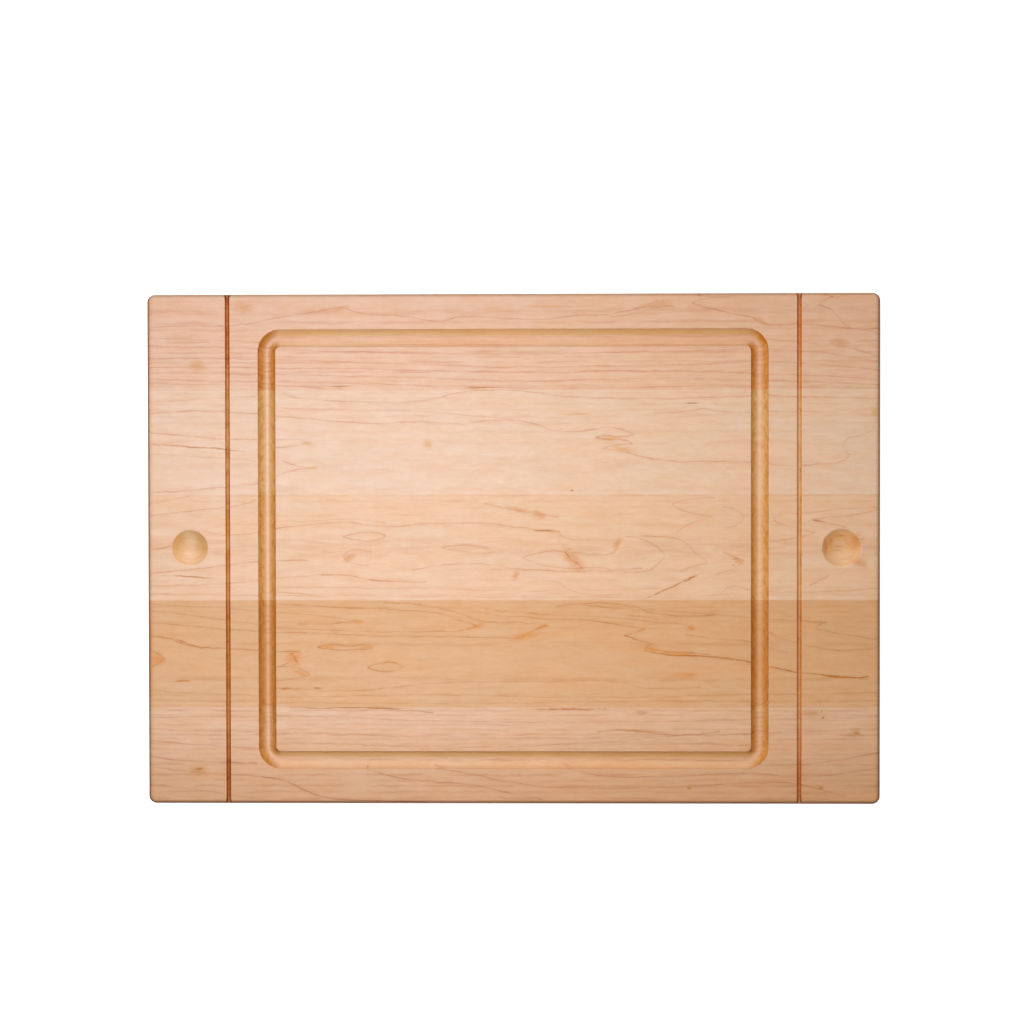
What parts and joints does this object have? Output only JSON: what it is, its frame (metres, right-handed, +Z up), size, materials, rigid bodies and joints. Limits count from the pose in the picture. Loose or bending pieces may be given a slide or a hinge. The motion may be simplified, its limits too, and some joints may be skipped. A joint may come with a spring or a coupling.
{
  "type": "cutting board",
  "caption": "Flat rectangular maple board of edge-glued staves, with a rounded juice groove, a narrow groove across each end and a thumb well in each end margin.",
  "frame": {"origin": "centre of the underside, the face the board rests on", "axes": "+X along the staves towards the end with the larger thumb well, +Y across the staves towards the rear edge, +Z up out of the grooved cutting face"},
  "size_m": [0.508, 0.354, 0.019],
  "materials": {
    "maple_rear_edge": "oiled, pinkish tan",
    "maple_rear_inner": "oiled, light cream",
    "maple_centre": "oiled, cream",
    "maple_front_inner": "oiled, orange tan",
    "maple_front_edge": "oiled, tan"
  },
  "bodies": {
    "root": {"stave_rear_edge": "maple_rear_edge", "stave_rear_inner": "maple_rear_inner", "stave_centre": "maple_centre", "stave_front_inner": "maple_front_inner", "stave_front_edge": "maple_front_edge"}
  },
  "joints": []
}
